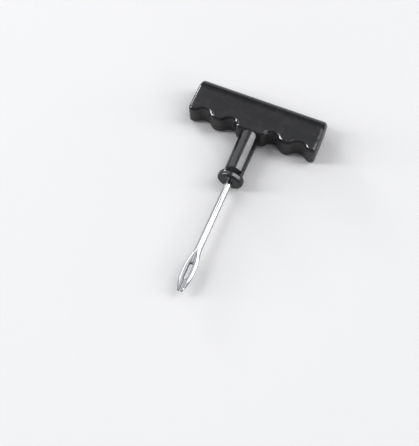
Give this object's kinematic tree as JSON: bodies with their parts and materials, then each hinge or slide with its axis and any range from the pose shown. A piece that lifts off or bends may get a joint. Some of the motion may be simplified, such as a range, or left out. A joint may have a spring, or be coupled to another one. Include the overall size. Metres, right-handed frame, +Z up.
{
  "type": "tyre plug insertion tool",
  "caption": "T-handle hand tool with a finger-grip crossbar, a collared stem and a plated needle whose open split eye carries a plug strip into a tyre.",
  "frame": {"origin": "on the resting plane, under the centre of the tool's length and width, with the back face of the handle down", "axes": "+X along the crossbar, +Y from the needle's tip to the palm face, +Z up through the handle's thickness"},
  "size_m": [0.084, 0.1346, 0.0164],
  "materials": {
    "handle_plastic": "smooth, glossy black moulding",
    "needle_plate": "bright plating over drawn and forged steel",
    "pin_steel": "plain ground steel"
  },
  "bodies": {
    "root": {"handle_front_shell": "handle_plastic", "handle_back_shell": "handle_plastic", "needle": "needle_plate", "tang_cross_pin": "pin_steel"}
  },
  "joints": []
}
